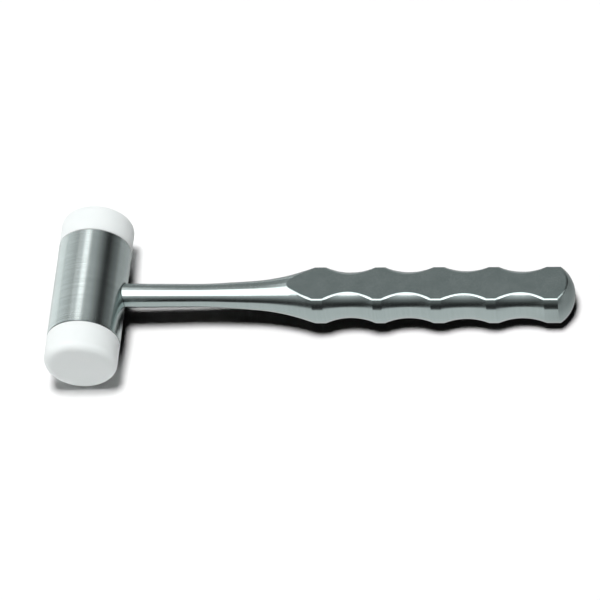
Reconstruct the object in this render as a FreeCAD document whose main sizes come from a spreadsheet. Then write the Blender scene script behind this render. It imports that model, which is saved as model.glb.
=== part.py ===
"""Surgical mallet: a steel head with two screwed nylon caps on a turned handle with finger rests.

The handle runs along X, the head along Y, and up is Z, in millimetres. Every piece is
drawn about the point where the axes of the head and the handle cross, and one shared
placement then lays the mallet down the way it comes to rest: on the side of its head and
on the far edge of the lower flat of its grip.
"""
import FreeCAD, Part
import math
import os
import re
import Sketcher

SHEET = "Dimensions"
LENGTH_TOLERANCE = 1e-6
FLAT_TOLERANCE = 1e-3
FINGERS = ("index", "middle", "ring", "little")

# Sizes that can be set by themselves, in millimetres unless the note says degrees.
DRIVING_SIZES = [
    ("head_diameter", 32.0, "steel body and both caps"),
    ("body_length", 49.0, "steel body between its two shoulders"),
    ("body_edge", 0.3, "chamfer at each end of the steel body"),
    ("stud_diameter", 18.0, "stud that carries a cap, over its thread"),
    ("stud_length", 7.0, "stud beyond the shoulder"),
    ("stud_chamfer", 1.0, "lead at the end of a stud"),
    ("cap_length", 14.25, "cap from its shoulder to its striking face"),
    ("cap_edge_radius", 4.0, "round of the striking face"),
    ("cap_mouth_edge", 0.3, "chamfer at the mouth of a cap"),
    ("socket_clearance", 0.05, "between stud and socket, on the radius"),
    ("socket_end_gap", 0.5, "between the end of a stud and the end of its socket"),
    ("tenon_diameter", 9.0, "plain end of the handle inside the head"),
    ("tenon_reach", 9.0, "tenon past the axis of the head"),
    ("tenon_chamfer", 0.8, "lead at the end of the tenon"),
    ("tenon_clearance", 0.02, "between tenon and bore, on the radius"),
    ("tenon_end_gap", 0.5, "between the tenon and the end of its bore"),
    ("seat_depth", 1.5, "spot face for the neck, below the crown of the head"),
    ("seat_clearance", 0.1, "round the neck in its spot face, on the radius"),
    ("pin_diameter", 4.0, "dowel that locks the tenon"),
    ("pin_length", 28.0, "dowel from end to end"),
    ("pin_chamfer", 0.4, "both ends of the dowel"),
    ("pin_clearance", 0.02, "between dowel and bore, on the radius"),
    ("neck_root_diameter", 10.6, "neck at the head"),
    ("waist_diameter", 10.15, "thinnest place of the neck"),
    ("waist_distance", 48.0, "thinnest place of the neck from the axis of the head"),
    ("waist_radius", 150.0, "hollow of the neck along its length"),
    ("neck_taper_angle", 3.2, "degrees, neck between waist and flare"),
    ("flare_radius", 93.0, "hollow of the flare along its length"),
    ("flare_angle", 18.0, "degrees, flare where it meets the grip"),
    ("grip_start_distance", 99.7, "start of the grip from the axis of the head"),
    ("grip_diameter", 24.2, "lands between and beside the finger rests"),
    ("flat_depth", 3.45, "each flat of the grip below the lands"),
    ("flat_edge_radius", 1.2, "round along the edges of the flats"),
    ("finger_radius", 27.3, "hollow of each finger rest along the grip"),
    ("index_land", 4.7, "land before the index finger rest"),
    ("index_depth", 2.27, "index finger rest below the lands"),
    ("middle_land", 4.0, "land before the middle finger rest"),
    ("middle_depth", 2.16, "middle finger rest below the lands"),
    ("ring_land", 4.6, "land before the ring finger rest"),
    ("ring_depth", 1.8, "ring finger rest below the lands"),
    ("little_land", 4.2, "land before the little finger rest"),
    ("little_depth", 2.07, "little finger rest below the lands"),
    ("end_land", 6.0, "land between the little finger rest and the dome"),
    ("dome_radius", 14.75, "domed end of the handle"),
]


def grip_sizes():
    """Where the features of the grip lie along the handle, each after the one before it."""
    rows = []
    edge = "grip_start_distance"
    for finger in FINGERS:
        depth = f"{finger}_depth"
        half = f"{finger}_half"
        middle = f"{finger}_distance"
        half_chord = f"sqrt(2 * finger_radius * {depth} - {depth} ^ 2)"
        rows.append((half, half_chord, f"half of the {finger} finger rest"))
        rows.append((middle, f"{edge} + {finger}_land + {half}", f"middle of the {finger} finger rest"))
        edge = f"{middle} + {half}"
    dome_inset = "sqrt(dome_radius ^ 2 - (grip_diameter / 2) ^ 2)"
    rows.append(("grip_end_distance", f"{edge} + end_land", "edge of the dome"))
    rows.append(("dome_distance", f"grip_end_distance - {dome_inset}", "centre of the dome"))
    rows.append(("handle_reach", "dome_distance + dome_radius", "tip of the handle"))
    return rows


def rest_sizes():
    """The flats' height, and the pose at rest: the far round of the lower flat touches the surface."""
    along = "sqrt((dome_radius - flat_edge_radius) ^ 2 - contact_height ^ 2)"
    away = "sqrt(contact_distance ^ 2 + contact_height ^ 2)"
    lift = f"asin((head_diameter / 2 - flat_edge_radius) / {away})"
    far_end = "dome_distance * cos(rest_angle) + dome_radius"
    return [
        ("flat_height", "grip_diameter / 2 - flat_depth", "each flat from the axis of the handle"),
        ("contact_height", "flat_height - flat_edge_radius", "centre of that round, below the axis"),
        ("contact_distance", f"dome_distance + {along}", "centre of that round, along the handle"),
        ("rest_angle", f"{lift} - atan(contact_height / contact_distance)", "fall of the handle at rest"),
        ("head_shift", f"({far_end} - head_diameter / 2) / 2", "head's axis from the middle of the length"),
    ]


WORKED_OUT_SIZES = grip_sizes() + rest_sizes()
ALIASES = {row[0] for row in DRIVING_SIZES + WORKED_OUT_SIZES}


def make_sheet(doc):
    """Fill the sheet: the driving sizes as plain numbers, then what follows from them."""
    sheet = doc.addObject("Spreadsheet::Sheet", SHEET)
    for row, (alias, value, note) in enumerate(DRIVING_SIZES, start=1):
        sheet.set(f"A{row}", note)
        sheet.set(f"B{row}", str(value))
        sheet.setAlias(f"B{row}", alias)
    doc.recompute()
    for row, (alias, formula, note) in enumerate(WORKED_OUT_SIZES, start=len(DRIVING_SIZES) + 1):
        sheet.set(f"A{row}", note)
        sheet.set(f"B{row}", f"={formula}")
        sheet.setAlias(f"B{row}", alias)
        doc.recompute()


def sized(expression):
    """Name the sheet in front of each of its aliases in an expression."""
    words = "|".join(sorted(ALIASES, key=len, reverse=True))
    return re.sub(rf"\b({words})\b", rf"{SHEET}.\1", expression)


def number(expression):
    """Work out an expression on the sheet's aliases as a plain number."""
    value = FreeCAD.ActiveDocument.getObject(SHEET).evalExpression(sized(expression))
    return float(getattr(value, "Value", value))


def start_piece(doc, name):
    """Make the body of one piece and lay it in the mallet's pose at rest."""
    body = doc.addObject("PartDesign::Body", name)
    body.Label = name
    body.Placement.Rotation = FreeCAD.Rotation(FreeCAD.Vector(0, 1, 0), number("rest_angle"))
    body.setExpression("Placement.Rotation.Angle", sized("rest_angle"))
    body.setExpression("Placement.Base.x", sized("-1 * head_shift"))
    body.setExpression("Placement.Base.z", sized("head_diameter / 2"))
    return body


def plane_sketch(body, name, role, offset="0"):
    """Put a sketch on one of the body's own origin planes, moved along the plane's normal."""
    sketch = body.newObject("Sketcher::SketchObject", name)
    plane = [item for item in body.Origin.OriginFeatures if item.Role == role][0]
    sketch.AttachmentSupport = (plane, [""])
    sketch.MapMode = "FlatFace"
    if offset != "0":
        sketch.setExpression(".AttachmentOffset.Base.z", sized(offset))
    return sketch


def fix(sketch, kind, edge, end, expression):
    """Measure a point from the sketch's origin and tie the measure to the sheet."""
    index = sketch.addConstraint(Sketcher.Constraint(kind, -1, 1, edge, end, number(expression)))
    if expression != "0":
        sketch.setExpression(f"Constraints[{index}]", sized(expression))


def fix_point(sketch, edge, end, across, up):
    """Fix both places of a point, each by its expression."""
    fix(sketch, "DistanceX", edge, end, across)
    fix(sketch, "DistanceY", edge, end, up)


def tie_radius(sketch, arc, expression):
    """Tie an arc's radius to the sheet."""
    index = sketch.addConstraint(Sketcher.Constraint("Radius", arc, number(expression)))
    sketch.setExpression(f"Constraints[{index}]", sized(expression))


def tie_slope(sketch, line, expression):
    """Tie a line's angle to the sketch's horizontal axis to the sheet."""
    slope = math.radians(number(expression))
    index = sketch.addConstraint(Sketcher.Constraint("Angle", -1, 1, line, 1, slope))
    sketch.setExpression(f"Constraints[{index}]", sized(expression))


def join(sketch, first, first_end, second, second_end, kind="Coincident"):
    """Join two ends, smoothly where the kind is Tangent."""
    sketch.addConstraint(Sketcher.Constraint(kind, first, first_end, second, second_end))


def draw_outline(sketch, corners):
    """Draw a closed outline of straight edges, each corner (across, up) fixed by two expressions."""
    points = [FreeCAD.Vector(number(across), number(up), 0) for across, up in corners]
    count = len(points)
    for i in range(count):
        sketch.addGeometry(Part.LineSegment(points[i], points[(i + 1) % count]))
    for i, (across, up) in enumerate(corners):
        join(sketch, i, 2, (i + 1) % count, 1)
        fix_point(sketch, i, 1, across, up)


def draw_circle(sketch, diameter):
    """Draw a circle about the sketch's origin."""
    radius = f"({diameter}) / 2"
    sketch.addGeometry(Part.Circle(FreeCAD.Vector(0, 0, 0), FreeCAD.Vector(0, 0, 1), number(radius)))
    join(sketch, 0, 3, -1, 1)
    tie_radius(sketch, 0, radius)


def revolve(body, name, sketch, axis):
    """Turn a profile once round an axis of its own sketch."""
    turned = body.newObject("PartDesign::Revolution", name)
    turned.Profile = sketch
    turned.ReferenceAxis = (sketch, [axis])
    turned.Angle = 360
    body.Document.recompute()
    return turned


def cut_through(body, name, sketch, both_ways):
    """Cut a sketch right through the piece, both ways or only the way its plane faces."""
    cut = body.newObject("PartDesign::Pocket", name)
    cut.Profile = sketch
    cut.Type = "ThroughAll"
    cut.Midplane = both_ways
    cut.Reversed = not both_ways
    body.Document.recompute()
    return cut


def round_edges(body, name, base, edges, radius):
    """Round some edges of a feature by a radius from the sheet."""
    rounded = body.newObject("PartDesign::Fillet", name)
    rounded.Base = (base, edges)
    rounded.setExpression("Radius", sized(radius))
    body.Document.recompute()


def same(first, second):
    """Whether two lengths are equal but for rounding."""
    return abs(first - second) < LENGTH_TOLERANCE


def make_head_body(doc):
    """Steel head turned from the bar: a stud at each end, a seat and bore for the handle, a dowel bore."""
    body = start_piece(doc, "head_body")
    profile = plane_sketch(body, "head_profile", "XY_Plane")
    shoulder = "body_length / 2"
    rear_half = [
        ("0", f"{shoulder} + stud_length"),
        ("stud_diameter / 2 - stud_chamfer", f"{shoulder} + stud_length"),
        ("stud_diameter / 2", f"{shoulder} + stud_length - stud_chamfer"),
        ("stud_diameter / 2", shoulder),
        ("head_diameter / 2 - body_edge", shoulder),
        ("head_diameter / 2", f"{shoulder} - body_edge"),
    ]
    front_half = [(across, f"-1 * ({up})") for across, up in reversed(rear_half)]
    draw_outline(profile, rear_half + front_half)
    revolve(body, "head_turned", profile, "V_Axis")

    seat = plane_sketch(body, "seat_circle", "YZ_Plane", "head_diameter / 2 - seat_depth")
    draw_circle(seat, "neck_root_diameter + 2 * seat_clearance")
    cut_through(body, "neck_seat", seat, both_ways=False)

    bore = plane_sketch(body, "tenon_bore_circle", "YZ_Plane", "-1 * (tenon_reach + tenon_end_gap)")
    draw_circle(bore, "tenon_diameter + 2 * tenon_clearance")
    cut_through(body, "tenon_bore", bore, both_ways=False)

    # The dowel is driven in from the end of the front stud, where its cap hides the bore.
    lock = plane_sketch(body, "dowel_bore_circle", "XZ_Plane", "-1 * pin_length / 2")
    draw_circle(lock, "pin_diameter + 2 * pin_clearance")
    cut_through(body, "dowel_bore", lock, both_ways=False)
    return body


def make_cap(doc, name, side):
    """One-piece nylon cap with a blind socket, on the side of the head that the sign gives."""
    body = start_piece(doc, name)
    profile = plane_sketch(body, f"{name}_profile", "XY_Plane")
    shoulder = "body_length / 2"
    socket_end = f"{shoulder} + stud_length + socket_end_gap"
    face = f"{shoulder} + cap_length"
    corners = [
        ("0", socket_end),
        ("stud_diameter / 2 + socket_clearance", socket_end),
        ("stud_diameter / 2 + socket_clearance", shoulder),
        ("head_diameter / 2 - cap_mouth_edge", shoulder),
        ("head_diameter / 2", f"{shoulder} + cap_mouth_edge"),
        ("head_diameter / 2", face),
        ("0", face),
    ]
    draw_outline(profile, [(across, f"{side} * ({up})") for across, up in corners])
    turned = revolve(body, f"{name}_turned", profile, "V_Axis")

    rim = []
    for index, edge in enumerate(turned.Shape.Edges, start=1):
        if edge.Closed and isinstance(edge.Curve, Part.Circle):
            at_face = same(edge.Curve.Center.y, side * number(face))
            if at_face and same(edge.Curve.Radius, number("head_diameter / 2")):
                rim.append(f"Edge{index}")
    round_edges(body, f"{name}_round", turned, rim, "cap_edge_radius")
    return body


def make_tenon_pin(doc):
    """Dowel along the head's axis, through the tenon of the handle."""
    body = start_piece(doc, "tenon_pin")
    profile = plane_sketch(body, "dowel_profile", "XY_Plane")
    rear_half = [
        ("0", "pin_length / 2"),
        ("pin_diameter / 2 - pin_chamfer", "pin_length / 2"),
        ("pin_diameter / 2", "pin_length / 2 - pin_chamfer"),
    ]
    front_half = [(across, f"-1 * ({up})") for across, up in reversed(rear_half)]
    draw_outline(profile, rear_half + front_half)
    revolve(body, "dowel_turned", profile, "V_Axis")
    return body


def unit(angle):
    """Unit vector at an angle in radians from the X axis."""
    return FreeCAD.Vector(math.cos(angle), math.sin(angle), 0)


def arc_between(centre, start, end):
    """Arc about a centre, anticlockwise from start to end."""
    circle = Part.Circle(centre, FreeCAD.Vector(0, 0, 1), (start - centre).Length)
    first = math.atan2(start.y - centre.y, start.x - centre.x)
    last = math.atan2(end.y - centre.y, end.x - centre.x)
    return Part.ArcOfCircle(circle, first, last)


def neck_curves():
    """Lines and arcs of the neck's half section, from its root to the start of the grip.

    The neck falls in a straight line to its waist hollow, rises at the taper angle, and
    turns through the flare's hollow to the flare angle, each tangent to the next.
    """
    taper = math.radians(number("neck_taper_angle"))
    slope = math.radians(number("flare_angle"))
    waist_radius = number("waist_radius")
    flare_radius = number("flare_radius")
    root = FreeCAD.Vector(number("head_diameter / 2 - seat_depth"), number("neck_root_diameter / 2"), 0)
    grip_start = FreeCAD.Vector(number("grip_start_distance"), number("grip_diameter / 2"), 0)

    waist_centre = FreeCAD.Vector(number("waist_distance"), number("waist_diameter / 2") + waist_radius, 0)
    to_root = root - waist_centre
    root_swing = math.acos(waist_radius / to_root.Length)
    waist_start = waist_centre + unit(math.atan2(to_root.y, to_root.x) + root_swing) * waist_radius
    waist_end = waist_centre + unit(taper - math.pi / 2) * waist_radius

    # The taper's line and the flare's line cross at a corner, which the flare's arc rounds.
    gap = grip_start - waist_end
    to_corner = (gap.x * math.sin(slope) - gap.y * math.cos(slope)) / math.sin(slope - taper)
    corner = waist_end + unit(taper) * to_corner
    tangent = flare_radius * math.tan((slope - taper) / 2)
    flare_start = corner - unit(taper) * tangent
    flare_end = corner + unit(slope) * tangent
    flare_centre = flare_start + unit(taper + math.pi / 2) * flare_radius
    return (
        Part.LineSegment(root, waist_start),
        arc_between(waist_centre, waist_start, waist_end),
        Part.LineSegment(waist_end, flare_start),
        arc_between(flare_centre, flare_start, flare_end),
        Part.LineSegment(flare_end, grip_start),
    )


def draw_tenon(sketch):
    """Tenon and shoulder of the handle's half section, returning the first and last edge."""
    start = "-1 * tenon_reach"
    end = "head_diameter / 2 - seat_depth"
    corners = [
        (start, "0"),
        (start, "tenon_diameter / 2 - tenon_chamfer"),
        (f"{start} + tenon_chamfer", "tenon_diameter / 2"),
        (end, "tenon_diameter / 2"),
        (end, "neck_root_diameter / 2"),
    ]
    points = [FreeCAD.Vector(number(across), number(up), 0) for across, up in corners]
    edges = [sketch.addGeometry(Part.LineSegment(a, b)) for a, b in zip(points, points[1:])]
    for edge, (across, up) in zip(edges, corners):
        fix_point(sketch, edge, 1, across, up)
    fix_point(sketch, edges[-1], 2, *corners[-1])
    for edge in edges[1:]:
        join(sketch, edge - 1, 2, edge, 1)
    return edges[0], edges[-1]


def draw_neck(sketch, previous):
    """Neck and flare of the half section, returning the last edge."""
    back, waist, taper, flare, cone = [sketch.addGeometry(curve) for curve in neck_curves()]
    join(sketch, previous, 2, back, 1)
    join(sketch, back, 2, waist, 1, "Tangent")
    join(sketch, waist, 2, taper, 1, "Tangent")
    join(sketch, taper, 2, flare, 1, "Tangent")
    join(sketch, flare, 2, cone, 1, "Tangent")
    fix_point(sketch, waist, 3, "waist_distance", "waist_diameter / 2 + waist_radius")
    tie_radius(sketch, waist, "waist_radius")
    tie_slope(sketch, taper, "neck_taper_angle")
    tie_radius(sketch, flare, "flare_radius")
    tie_slope(sketch, cone, "flare_angle")
    fix_point(sketch, cone, 2, "grip_start_distance", "grip_diameter / 2")
    return cone


def draw_grip(sketch, previous):
    """Lands and finger rests of the half section, returning the last land."""
    land_height = number("grip_diameter / 2")
    land_start = number("grip_start_distance")
    for finger in FINGERS:
        middle = number(f"{finger}_distance")
        half = number(f"{finger}_half")
        rise = f"grip_diameter / 2 - {finger}_depth + finger_radius"
        start = FreeCAD.Vector(middle - half, land_height, 0)
        end = FreeCAD.Vector(middle + half, land_height, 0)
        centre = FreeCAD.Vector(middle, number(rise), 0)
        land = sketch.addGeometry(Part.LineSegment(FreeCAD.Vector(land_start, land_height, 0), start))
        rest = sketch.addGeometry(arc_between(centre, start, end))
        join(sketch, previous, 2, land, 1)
        join(sketch, land, 2, rest, 1)
        sketch.addConstraint(Sketcher.Constraint("Horizontal", land))
        sketch.addConstraint(Sketcher.Constraint("Horizontal", rest, 1, rest, 2))
        fix_point(sketch, rest, 3, f"{finger}_distance", rise)
        tie_radius(sketch, rest, "finger_radius")
        previous = rest
        land_start = end.x
    start = FreeCAD.Vector(land_start, land_height, 0)
    end = FreeCAD.Vector(number("grip_end_distance"), land_height, 0)
    land = sketch.addGeometry(Part.LineSegment(start, end))
    join(sketch, previous, 2, land, 1)
    sketch.addConstraint(Sketcher.Constraint("Horizontal", land))
    return land


def draw_dome(sketch, previous, first):
    """Dome of the half section, and the axis that closes it back to the first edge."""
    centre = FreeCAD.Vector(number("dome_distance"), 0, 0)
    edge = FreeCAD.Vector(number("grip_end_distance"), number("grip_diameter / 2"), 0)
    tip = FreeCAD.Vector(number("handle_reach"), 0, 0)
    dome = sketch.addGeometry(arc_between(centre, tip, edge))
    axis = sketch.addGeometry(Part.LineSegment(tip, FreeCAD.Vector(number("-1 * tenon_reach"), 0, 0)))
    join(sketch, previous, 2, dome, 2)
    join(sketch, dome, 1, axis, 1)
    join(sketch, axis, 2, first, 1)
    sketch.addConstraint(Sketcher.Constraint("Horizontal", axis))
    fix_point(sketch, dome, 3, "dome_distance", "0")
    tie_radius(sketch, dome, "dome_radius")


def flat_edges(shape):
    """Names of the edges that bound the two flats of the grip."""
    height = number("flat_height")
    names = []
    for index, edge in enumerate(shape.Edges, start=1):
        if edge.Degenerated:
            continue
        points = [vertex.Point for vertex in edge.Vertexes]
        points.append(edge.valueAt((edge.FirstParameter + edge.LastParameter) / 2))
        if all(abs(abs(point.z) - height) < FLAT_TOLERANCE for point in points):
            names.append(f"Edge{index}")
    return names


def make_handle(doc):
    """One-piece handle: turned along its length, milled flat above and below, flats' edges rounded."""
    body = start_piece(doc, "handle")
    profile = plane_sketch(body, "handle_profile", "XY_Plane")
    first, shoulder = draw_tenon(profile)
    cone = draw_neck(profile, shoulder)
    end_land = draw_grip(profile, cone)
    draw_dome(profile, end_land, first)
    revolve(body, "handle_turned", profile, "H_Axis")

    lock = plane_sketch(body, "tenon_cross_circle", "XZ_Plane")
    draw_circle(lock, "pin_diameter + 2 * pin_clearance")
    cut_through(body, "tenon_cross_bore", lock, both_ways=True)

    for name, side in (("upper_flat", 1), ("lower_flat", -1)):
        waste = plane_sketch(body, f"{name}_waste", "XZ_Plane")
        corners = [
            ("waist_distance", f"{side} * flat_height"),
            ("handle_reach + dome_radius", f"{side} * flat_height"),
            ("handle_reach + dome_radius", f"{side} * grip_diameter"),
            ("waist_distance", f"{side} * grip_diameter"),
        ]
        draw_outline(waste, corners)
        flat = cut_through(body, name, waste, both_ways=True)

    round_edges(body, "flat_rounds", flat, flat_edges(flat.Shape), "flat_edge_radius")
    return body


def check(doc, pieces):
    """Stop if an object of the document failed or a piece is not one sound solid."""
    for item in doc.Objects:
        if "Invalid" in item.State or "Error" in item.State:
            raise RuntimeError(f"{item.Name} failed: {item.State}")
    for piece in pieces:
        shape = piece.Shape
        if shape.isNull() or not shape.isValid() or len(shape.Solids) != 1:
            raise RuntimeError(f"{piece.Label} is not one valid solid")


def main():
    doc = FreeCAD.newDocument("surgical_mallet")
    make_sheet(doc)
    pieces = [
        make_head_body(doc),
        make_handle(doc),
        make_cap(doc, "front_cap", -1),
        make_cap(doc, "rear_cap", 1),
        make_tenon_pin(doc),
    ]
    doc.recompute()
    check(doc, pieces)
    os.makedirs("parts", exist_ok=True)
    for piece in pieces:
        piece.Shape.exportStep(f"parts/{piece.Label}.step")
        print(f"{piece.Label}: {piece.Shape.Volume:.1f} mm3")
    print(f"head_shift {number('head_shift'):.3f} mm, rest_angle {number('rest_angle'):.3f} degrees")


main()
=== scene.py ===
"""Looks of the surgical mallet: satin steel, white nylon caps, a white floor and studio light."""
import bpy
import math
from mathutils import Matrix, Vector


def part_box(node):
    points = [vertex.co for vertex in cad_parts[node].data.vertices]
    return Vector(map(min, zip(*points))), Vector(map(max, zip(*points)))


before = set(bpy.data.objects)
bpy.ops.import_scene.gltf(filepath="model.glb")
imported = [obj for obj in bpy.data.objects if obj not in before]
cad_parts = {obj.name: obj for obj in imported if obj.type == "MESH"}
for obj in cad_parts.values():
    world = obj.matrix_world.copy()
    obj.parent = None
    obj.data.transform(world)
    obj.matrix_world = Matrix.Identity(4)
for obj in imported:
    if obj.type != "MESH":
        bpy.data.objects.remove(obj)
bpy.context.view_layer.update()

MM = 0.001

# The handle falls towards its tip by this angle, and its flats lie this far from its axis.
HANDLE_FALL = math.radians(2.012)
FLAT_HEIGHT = 8.65 * MM

# The steel body ends this far from the middle of the head, in a groove against each cap.
BODY_HALF_LENGTH = 24.5 * MM
GROOVE = 0.3 * MM

# The neck stands in a round seat in the head, and a band of painted shade this wide darkens the head round
# it.
NECK_SEAT_RADIUS = 5.4 * MM
SEAT_SHADE_WIDTH = 0.8 * MM

# View of the photograph, about the point where the axes of the head and the handle cross.
VIEW_ELEVATION = math.radians(52.93)
VIEW_AZIMUTH = math.radians(17.77)
VIEW_ROLL = math.radians(15.64)
VIEW_DISTANCE = 2498 * MM
VIEW_RIGHT = 91.82 * MM
VIEW_DOWN = 1.85 * MM
FRAME_WIDTH_AT_OBJECT = 261.72 * MM
SENSOR_WIDTH = 36.0
CLIP_END = 50.0

# Tones of each material, from the darkest to the lightest of its grain.
HEAD_TONES = ((0.475, 0.55, 0.54, 1), (0.655, 0.745, 0.735, 1))
TURNED_TONES = ((0.535, 0.635, 0.625, 1), (0.57, 0.665, 0.655, 1))
# The milled flats are darker than the turned steel, partly for their finish and partly as painted shade.
MILLED_AND_SHADED_TONES = ((0.41, 0.50, 0.492, 1), (0.49, 0.58, 0.572, 1))
NYLON_TONES = ((0.83, 0.875, 0.87, 1), (0.87, 0.91, 0.905, 1))
# Painted shade on the steel in the groove against each cap.
PAINTED_GROOVE_SHADE_ON_STEEL = (0.38, 0.44, 0.435, 1)
# Painted shade on the head round the neck's seat.
PAINTED_SEAT_SHADE = (0.10, 0.12, 0.12, 1)
# Painted shade on the nylon at the mouth of each groove.
PAINTED_MOUTH_SHADE = (0.64, 0.67, 0.67, 1)
PIN_COLOUR = (0.55, 0.58, 0.57, 1)

# Grain of each material: noise cells in a millimetre along the handle, the head and upwards.
HEAD_FINE_LINES = (0.012, 3.5, 0.012)
HEAD_STREAKS = (0.012, 2.2, 0.012)
HEAD_CLOUDS = (0.04, 0.2, 0.04)
TURNED_LINES = (2.2, 0.05, 0.05)
MILLED_GRAIN = (1.2, 1.6, 1.6)
MILLED_CLOUDS = (0.16, 0.16, 0.16)
NYLON_GRAIN = (2.5, 2.5, 2.5)
NYLON_CLOUDS = (0.12, 0.12, 0.12)
PIN_LINES = (0.1, 3.0, 0.1)

# Roughness of each material between the low and the high part of its grain.
GRAIN_SPAN = (0.3, 0.7)
HEAD_ROUGHNESS = (0.23, 0.25)
HANDLE_ROUGHNESS = (0.21, 0.23)
NYLON_ROUGHNESS = (0.42, 0.5)
PIN_ROUGHNESS = (0.22, 0.30)

# Height of the fine relief in the steel and in the nylon, in metres.
STEEL_RELIEF = 2e-6
NYLON_RELIEF = 1e-5

# Light colour of the two cards, a little warm, so that the head's highlight is nearly neutral.
CARD_TINT = (1.0, 0.95, 0.955)

# The floor's own gray, and the grays at which polished steel sees it between two depths:
# (share of the way from the near to the far depth, gray).
FLOOR_REACH = 3.0
FLOOR_GRAY = 0.97
FLOOR_DEPTHS = (-0.15, 0.05)
REFLECTED_FLOOR = [(0.12, 0.05), (0.26, 0.62), (0.70, 0.62), (0.90, 0.42)]

# Right of the tip the reflected floor fades to this share, and left of the head to its own gray.
RIGHT_FADE = (0.09, 0.13)
RIGHT_SHARE = 0.5
LEFT_FADE = (-0.145, -0.115)
LEFT_DEPTH_FADE = (-0.08, -0.05)

# Steel sees the object's shadow on the floor only beside the head, behind and left of these fades.
SHADOW_DEPTH_FADE = (-0.012, -0.008)
SHADOW_RIGHT_FADE = (-0.06, -0.03)

# Grays of the studio: beyond the object from left to right, and before it from low to high.
STUDIO_BEYOND = [
    (0.08, 0.80), (0.12, 0.68), (0.18, 0.50), (0.24, 0.36), (0.34, 0.26), (0.45, 0.26),
    (0.50, 0.34), (0.59, 0.34), (0.65, 0.24), (0.72, 0.17), (0.78, 0.09), (0.83, 0.0),
    (0.86, 0.0), (0.89, 0.13), (0.94, 0.24), (1.0, 0.30),
]
STUDIO_BEFORE = [
    (0.0, 0.02), (0.12, 0.025), (0.25, 0.05), (0.38, 0.14), (0.48, 0.21), (0.56, 0.30),
    (0.63, 0.40), (0.71, 0.52), (0.76, 0.74), (0.80, 0.9),
]

# How far the studio beyond the object reaches round its sides, and the blend between both parts.
STUDIO_SIDE_SHARE = 0.8
STUDIO_BLEND = 0.15

# Lamps as (name, shape, size, place, watts, the place that it looks at). The first ones light
# the caps and the floor and don't show in the steel. The others only show in the steel.
LIGHTING_LAMPS = [
    ("key", "DISK", (1.4, 1.4), (-0.10, 0.25, 4.0), 175, (0, 0, 0)),
    ("front_fill", "RECTANGLE", (1.2, 0.05), (-0.1, -1.6, 0.03), 3.3, (0, 0, 0.01)),
    ("left_fill", "RECTANGLE", (0.8, 0.05), (-1.5, -0.2, 0.03), 4.3, (0, 0, 0.01)),
    ("right_fill", "RECTANGLE", (0.8, 0.05), (1.5, 0.1, 0.03), 0.5, (0, 0, 0.01)),
]
SOFTBOX = ("softbox", "RECTANGLE", (5.4, 3.24), (-0.9, -0.48, 3.0), 95, (-0.9, -0.48, 0))
CARDS = [
    ("wide_card", "RECTANGLE", (0.105, 0.10), (-0.1525, 0.095, 0.15), 0.013, (-0.1525, 0.095, 0)),
    ("card", "RECTANGLE", (0.04, 0.10), (-0.128, 0.095, 0.149), 0.0115, (-0.128, 0.095, 0)),
]


def crossing_point():
    """Where the axis of the handle meets the axis of the head."""
    low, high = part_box("head_body")
    return (Vector(low) + Vector(high)) / 2


def make_camera():
    """Camera of the photograph: its sides are worked out from the view's angles."""
    turn = Matrix.Rotation(VIEW_AZIMUTH, 3, "Z")
    right = turn @ Vector((1, 0, 0))
    back = turn @ Vector((0, -math.cos(VIEW_ELEVATION), math.sin(VIEW_ELEVATION)))
    up = back.cross(right)
    roll = Matrix.Rotation(-VIEW_ROLL, 3, back)
    right = roll @ right
    up = roll @ up
    centre = crossing_point() + right * VIEW_RIGHT - up * VIEW_DOWN
    camera = bpy.data.objects.new("camera", bpy.data.cameras.new("camera"))
    bpy.context.scene.collection.objects.link(camera)
    camera.data.sensor_width = SENSOR_WIDTH
    camera.data.lens = SENSOR_WIDTH * VIEW_DISTANCE / FRAME_WIDTH_AT_OBJECT
    camera.data.clip_end = CLIP_END
    axes = Matrix((right, up, back)).transposed().to_4x4()
    camera.matrix_world = Matrix.Translation(centre + back * VIEW_DISTANCE) @ axes
    bpy.context.scene.camera = camera


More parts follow.
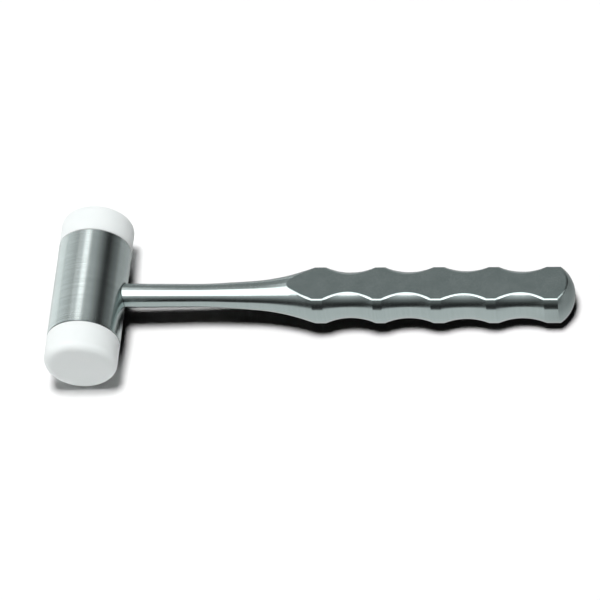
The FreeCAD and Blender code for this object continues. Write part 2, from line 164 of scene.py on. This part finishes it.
class Nodes:
    """Short ways to add nodes to a material, a lamp or the world and to link them."""

    def __init__(self, tree):
        self.tree = tree
        tree.nodes.clear()

    def add(self, kind, inputs=None, **settings):
        """Add a node; each input is a plain value or another node's output."""
        node = self.tree.nodes.new(kind)
        for name, value in settings.items():
            setattr(node, name, value)
        for key, value in (inputs or {}).items():
            socket = node.inputs[key]
            if isinstance(value, bpy.types.NodeSocket):
                self.tree.links.new(value, socket)
            else:
                socket.default_value = value
        return node

    def math(self, operation, *values):
        """Result of a Math node on some values."""
        return self.add("ShaderNodeMath", dict(enumerate(values)), operation=operation).outputs[0]

    def vector(self, operation, *values):
        """Result of a Vector Math node on some vectors."""
        return self.add("ShaderNodeVectorMath", dict(enumerate(values)), operation=operation).outputs[0]

    def parts(self, vector):
        """The outputs X, Y and Z of a vector."""
        return self.add("ShaderNodeSeparateXYZ", {0: vector}).outputs

    def average(self, first, second):
        """Middle of two values."""
        return self.math("ADD", self.math("MULTIPLY", first, 0.5), self.math("MULTIPLY", second, 0.5))

    def blend(self, factor, first, second):
        """Colour between two colours."""
        inputs = {"Factor": factor, "A": first, "B": second}
        return self.add("ShaderNodeMix", inputs, data_type="RGBA").outputs["Result"]

    def ramp(self, value, stops):
        """Gray that follows (place, gray) stops."""
        node = self.add("ShaderNodeValToRGB", {"Fac": value})
        elements = node.color_ramp.elements
        while len(elements) < len(stops):
            elements.new(0.5)
        for element, (place, gray) in zip(elements, stops):
            element.position = place
            element.color = (gray, gray, gray, 1)
        return node.outputs["Color"]

    def span(self, value, low, high, to_low, to_high):
        """A value's span mapped onto another, clamped at both ends."""
        inputs = {"Value": value, "From Min": low, "From Max": high, "To Min": to_low, "To Max": to_high}
        return self.add("ShaderNodeMapRange", inputs).outputs["Result"]

    def seen_directly(self):
        """1 for a ray that has met nothing dull yet, so that polished steel casts no bright patch."""
        depth = self.add("ShaderNodeLightPath").outputs["Diffuse Depth"]
        return self.math("LESS_THAN", depth, 0.5)

    def noise(self, place, per_mm, detail=2.0, roughness=0.5):
        """Noise from 0 to 1, with this many cells in a millimetre along each axis."""
        scaled = self.vector("MULTIPLY", place, per_mm)
        inputs = {"Vector": scaled, "Scale": 1.0, "Detail": detail, "Roughness": roughness}
        return self.add("ShaderNodeTexNoise", inputs).outputs[0]

    def bump(self, height, strength, distance):
        """Normal of a surface with a fine relief."""
        inputs = {"Height": height, "Strength": strength, "Distance": distance}
        return self.add("ShaderNodeBump", inputs).outputs[0]


def new_material(name):
    """An empty node material."""
    material = bpy.data.materials.new(name)
    material.use_nodes = True
    return material, Nodes(material.node_tree)


def finish_material(nodes, shader):
    """Connect the surface of a material."""
    nodes.add("ShaderNodeOutputMaterial", {"Surface": shader.outputs[0]})


def mallet_place(nodes, fall):
    """Places in millimetres from the axes' crossing, with X along an axis that falls by an angle."""
    here = nodes.add("ShaderNodeTexCoord").outputs["Object"]
    moved = nodes.vector("SUBTRACT", here, crossing_point())
    turned = {"Vector": moved, "Rotation": (0, -fall, 0), "Scale": (1 / MM,) * 3}
    return nodes.add("ShaderNodeMapping", turned, vector_type="POINT").outputs[0]


def distance_along_head(nodes, place):
    """Distance from the middle of the head along its axis, in millimetres."""
    return nodes.math("ABSOLUTE", nodes.parts(place)["Y"])


def outside_seat_shade(nodes):
    """1 on the head but for a band of painted shade round the neck, where it falls to 0."""
    place = nodes.parts(mallet_place(nodes, HANDLE_FALL))
    across = nodes.math("MULTIPLY", place["Y"], place["Y"])
    upright = nodes.math("MULTIPLY", place["Z"], place["Z"])
    radius = nodes.math("SQRT", nodes.math("ADD", across, upright))
    outside = nodes.span(radius, NECK_SEAT_RADIUS / MM, (NECK_SEAT_RADIUS + SEAT_SHADE_WIDTH) / MM, 0, 1)
    far_side = nodes.math("LESS_THAN", place["X"], 0)
    return nodes.math("MAXIMUM", outside, far_side)


def make_head_steel():
    """Satin steel brushed round the head, with painted shade in the caps' grooves and round the neck's
    seat.
    """
    material, nodes = new_material("head_steel_satin")
    place = mallet_place(nodes, 0)
    fine = nodes.noise(place, HEAD_FINE_LINES, 3.0, 0.7)
    streaks = nodes.noise(place, HEAD_STREAKS, 2.0, 0.6)
    clouds = nodes.noise(place, HEAD_CLOUDS)
    tone = nodes.blend(nodes.span(nodes.average(fine, streaks), 0.38, 0.62, 0, 1), *HEAD_TONES)
    groove_shade_start = (BODY_HALF_LENGTH - 1.4 * GROOVE) / MM
    groove_shade_end = (BODY_HALF_LENGTH - GROOVE) / MM
    outside_groove_shade = nodes.span(distance_along_head(nodes, place), groove_shade_start, groove_shade_end, 1, 0)
    # Painted shade: the steel darkens towards the groove against each cap.
    tone = nodes.blend(outside_groove_shade, PAINTED_GROOVE_SHADE_ON_STEEL, tone)
    shader = nodes.add("ShaderNodeBsdfPrincipled", {
        # Painted shade: the head is dark in a band round the neck's seat.
        "Base Color": nodes.blend(outside_seat_shade(nodes), PAINTED_SEAT_SHADE, tone),
        "Metallic": 1.0,
        "Roughness": nodes.span(clouds, *GRAIN_SPAN, *HEAD_ROUGHNESS),
        "Anisotropic": 0.5,
        "Tangent": nodes.add("ShaderNodeCombineXYZ", {"Y": 1.0}).outputs[0],
        "Normal": nodes.bump(fine, 0.15, STEEL_RELIEF),
    })
    finish_material(nodes, shader)
    return material


def make_handle_steel():
    """Satin steel, turned round the neck and the grip's sides, with a cloudy milled grain on its flats,
    whose darker tone is partly their finish and partly painted shade.
    """
    material, nodes = new_material("handle_steel_satin")
    place = mallet_place(nodes, HANDLE_FALL)
    height = nodes.math("ABSOLUTE", nodes.parts(place)["Z"])
    on_flat = nodes.span(height, FLAT_HEIGHT / MM - 0.15, FLAT_HEIGHT / MM - 0.02, 0, 1)
    turned = nodes.noise(place, TURNED_LINES, 3.0, 0.6)
    milled = nodes.noise(place, MILLED_GRAIN, 3.0, 0.6)
    clouds = nodes.noise(place, MILLED_CLOUDS, 3.0)
    lines = nodes.add("ShaderNodeMix", {"Factor": on_flat, "A": turned, "B": milled}).outputs[0]
    turned_tone = nodes.blend(nodes.span(turned, 0.35, 0.65, 0, 1), *TURNED_TONES)
    # The flats' darker tone is partly their milled finish and partly painted shade.
    milled_and_shaded_tone = nodes.blend(nodes.span(nodes.average(milled, clouds), 0.38, 0.62, 0, 1), *MILLED_AND_SHADED_TONES)
    tangent = nodes.add("ShaderNodeCombineXYZ", {"X": math.cos(HANDLE_FALL), "Z": -math.sin(HANDLE_FALL)})
    shader = nodes.add("ShaderNodeBsdfPrincipled", {
        "Base Color": nodes.blend(on_flat, turned_tone, milled_and_shaded_tone),
        "Metallic": 1.0,
        "Roughness": nodes.span(lines, *GRAIN_SPAN, *HANDLE_ROUGHNESS),
        "Anisotropic": 0.85,
        "Tangent": tangent.outputs[0],
        "Normal": nodes.bump(lines, 0.12, STEEL_RELIEF),
    })
    finish_material(nodes, shader)
    return material


def make_nylon():
    """White nylon with a satin skin, a little light passing under it, and painted shade at the groove's
    mouth.
    """
    material, nodes = new_material("nylon_white")
    place = mallet_place(nodes, 0)
    grain = nodes.noise(place, NYLON_GRAIN, 3.0, 0.6)
    tone = nodes.blend(nodes.noise(place, NYLON_CLOUDS), *NYLON_TONES)
    # Painted shade: the nylon grays at the mouth of the groove against the steel.
    mouth_shade_start = (BODY_HALF_LENGTH + 0.5 * GROOVE) / MM
    mouth_shade_end = (BODY_HALF_LENGTH + GROOVE) / MM
    outside_mouth_shade = nodes.span(distance_along_head(nodes, place), mouth_shade_start, mouth_shade_end, 0, 1)
    shader = nodes.add("ShaderNodeBsdfPrincipled", {
        "Base Color": nodes.blend(outside_mouth_shade, PAINTED_MOUTH_SHADE, tone),
        "Roughness": nodes.span(grain, *GRAIN_SPAN, *NYLON_ROUGHNESS),
        "Subsurface Weight": 0.35,
        "Subsurface Radius": (1.0, 1.0, 1.0),
        "Subsurface Scale": 2 * MM,
        "IOR": 1.53,
        "Normal": nodes.bump(grain, 0.2, NYLON_RELIEF),
    })
    finish_material(nodes, shader)
    return material


def make_pin_steel():
    """Ground steel of the hidden dowel."""
    material, nodes = new_material("pin_steel_ground")
    place = mallet_place(nodes, 0)
    lines = nodes.noise(place, PIN_LINES)
    shader = nodes.add("ShaderNodeBsdfPrincipled", {
        "Base Color": PIN_COLOUR,
        "Metallic": 1.0,
        "Roughness": nodes.span(lines, *GRAIN_SPAN, *PIN_ROUGHNESS),
        "Normal": nodes.bump(lines, 0.2, STEEL_RELIEF),
    })
    finish_material(nodes, shader)
    return material


def dress(node, material):
    """Give a node of the frame its material."""
    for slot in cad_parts[node].material_slots:
        slot.material = material


def reflected_floor_gray(nodes, place):
    """Gray at which polished steel sees each place of the floor."""
    depth = nodes.span(place["Y"], *FLOOR_DEPTHS, 0, 1)
    dim = nodes.ramp(depth, REFLECTED_FLOOR)
    dim = nodes.math("MULTIPLY", dim, nodes.span(place["X"], *RIGHT_FADE, 1, RIGHT_SHARE))
    left = nodes.span(place["X"], *LEFT_FADE, 1, 0)
    left = nodes.math("MULTIPLY", left, nodes.span(place["Y"], *LEFT_DEPTH_FADE, 0, 1))
    return nodes.math("ADD", dim, nodes.math("MULTIPLY", left, nodes.math("SUBTRACT", FLOOR_GRAY, dim)))


def make_floor_material():
    """White paper. Polished steel sees it grayer, with the object's shadow only beside the head."""
    material, nodes = new_material("floor_white")
    rays = nodes.add("ShaderNodeLightPath").outputs
    mirrored = nodes.math("MAXIMUM", rays["Is Glossy Ray"], rays["Is Transmission Ray"])
    place = nodes.parts(nodes.add("ShaderNodeTexCoord").outputs["Object"])
    gray = reflected_floor_gray(nodes, place)
    colour = nodes.blend(mirrored, (FLOOR_GRAY, FLOOR_GRAY, FLOOR_GRAY, 1), gray)
    paper = nodes.add("ShaderNodeBsdfDiffuse", {"Color": colour})
    # Painted reflection: the floor glows with this gray in rays that steel reflects or passes on, though
    # it is no lamp.
    reflected_floor_glow = nodes.add("ShaderNodeEmission", {"Color": gray})
    before = nodes.span(place["Y"], *SHADOW_DEPTH_FADE, 1, 0)
    glow_share = nodes.math("MAXIMUM", before, nodes.span(place["X"], *SHADOW_RIGHT_FADE, 0, 1))
    surface = nodes.add("ShaderNodeMixShader", {
        "Fac": nodes.math("MULTIPLY", mirrored, glow_share),
        1: paper.outputs[0],
        2: reflected_floor_glow.outputs[0],
    })
    second_hand = nodes.math("SUBTRACT", 1, nodes.seen_directly())
    black = nodes.add("ShaderNodeBsdfDiffuse", {"Color": (0, 0, 0, 1)})
    shader = nodes.add("ShaderNodeMixShader", {
        "Fac": nodes.math("MULTIPLY", rays["Is Glossy Ray"], second_hand),
        1: surface.outputs[0],
        2: black.outputs[0],
    })
    finish_material(nodes, shader)
    return material


def make_floor():
    """Wide plain white floor under the object."""
    mesh = bpy.data.meshes.new("floor")
    reach = FLOOR_REACH
    corners = [(-reach, -reach, 0), (reach, -reach, 0), (reach, reach, 0), (-reach, reach, 0)]
    mesh.from_pydata(corners, [], [(0, 1, 2, 3)])
    mesh.materials.append(make_floor_material())
    floor = bpy.data.objects.new("floor", mesh)
    bpy.context.scene.collection.objects.link(floor)


def make_world():
    """Dim studio that only the steel sees, gray beyond the object and darker before it."""
    world = bpy.data.worlds.new("studio")
    bpy.context.scene.world = world
    world.use_nodes = True
    world.cycles_visibility.diffuse = False
    nodes = Nodes(world.node_tree)
    way = nodes.parts(nodes.add("ShaderNodeTexCoord").outputs["Generated"])
    beyond = nodes.ramp(nodes.span(way["X"], -1, 1, 0, 1), STUDIO_BEYOND)
    before = nodes.ramp(way["Z"], STUDIO_BEFORE)
    aside = nodes.math("MULTIPLY", nodes.math("MULTIPLY", way["X"], way["X"]), STUDIO_SIDE_SHARE)
    depth = nodes.span(nodes.math("ADD", way["Y"], aside), -STUDIO_BLEND, STUDIO_BLEND, 0, 1)
    shader = nodes.add("ShaderNodeBackground", {
        "Color": nodes.blend(depth, before, beyond),
        "Strength": nodes.seen_directly(),
    })
    nodes.add("ShaderNodeOutputWorld", {"Surface": shader.outputs[0]})


def add_lamp(name, shape, size, place, watts, target):
    """Area lamp that looks at a place."""
    light = bpy.data.lights.new(name, "AREA")
    light.shape = shape
    light.size, light.size_y = size
    light.energy = watts
    lamp = bpy.data.objects.new(name, light)
    bpy.context.scene.collection.objects.link(lamp)
    lamp.location = place
    lamp.rotation_euler = (Vector(target) - Vector(place)).to_track_quat("-Z", "Y").to_euler()
    return lamp


def add_reflected_lamp(row, tint=(1, 1, 1)):
    """Lamp that shows in polished steel and lights nothing else."""
    lamp = add_lamp(*row)
    lamp.data.color = tint
    lamp.visible_diffuse = False
    lamp.data.use_nodes = True
    nodes = Nodes(lamp.data.node_tree)
    shine = nodes.add("ShaderNodeEmission", {"Strength": nodes.seen_directly()})
    nodes.add("ShaderNodeOutputLight", {"Surface": shine.outputs[0]})


def make_lamps():
    """A soft key for the shadow, low fills for the caps, and a softbox and cards for the steel."""
    for row in LIGHTING_LAMPS:
        add_lamp(*row).visible_glossy = False
    add_reflected_lamp(SOFTBOX)
    for row in CARDS:
        add_reflected_lamp(row, CARD_TINT)


make_camera()
make_floor()
make_world()
make_lamps()
dress("head_body", make_head_steel())
dress("handle", make_handle_steel())
nylon = make_nylon()
dress("front_cap", nylon)
dress("rear_cap", nylon)
dress("tenon_pin", make_pin_steel())

bpy.context.scene.view_settings.view_transform = "Standard"
